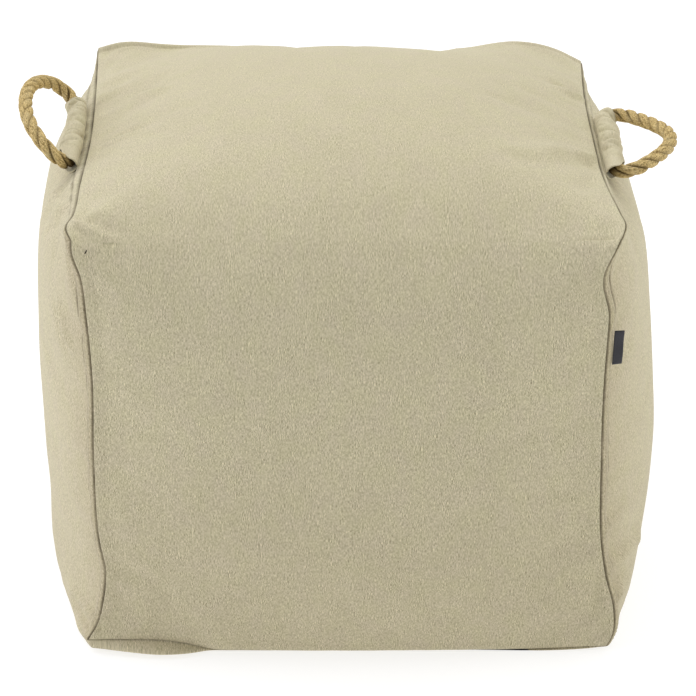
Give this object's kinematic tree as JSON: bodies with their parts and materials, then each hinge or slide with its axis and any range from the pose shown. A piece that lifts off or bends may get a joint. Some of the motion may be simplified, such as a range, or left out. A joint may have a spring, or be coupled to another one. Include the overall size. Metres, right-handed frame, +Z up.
{
  "type": "cube pouf stool",
  "caption": "Cube-shaped filled cloth pouf with a crowned top, drawn-in sides, felled seams and a rope handle in a cloth sleeve at the top of each side.",
  "frame": {"origin": "on the surface it rests on, under the middle of the base", "axes": "+Z up, -Y towards the front, +X to the right as seen from the front, through the two handles"},
  "size_m": [0.5671, 0.4998, 0.4427],
  "materials": {
    "cover_cloth": "heathered beige woven cloth, matt, with a fine lengthwise streak",
    "sleeve_cloth": "the same heathered beige cloth, cut across",
    "rope": "golden tan laid rope of plant fibre, three strands",
    "label_tape": "blank charcoal woven tape"
  },
  "bodies": {
    "root": {"pouf_cover": "cover_cloth", "sleeve_left": "sleeve_cloth", "sleeve_right": "sleeve_cloth", "rope_left": "rope", "rope_right": "rope", "blank_label": "label_tape"}
  },
  "joints": []
}
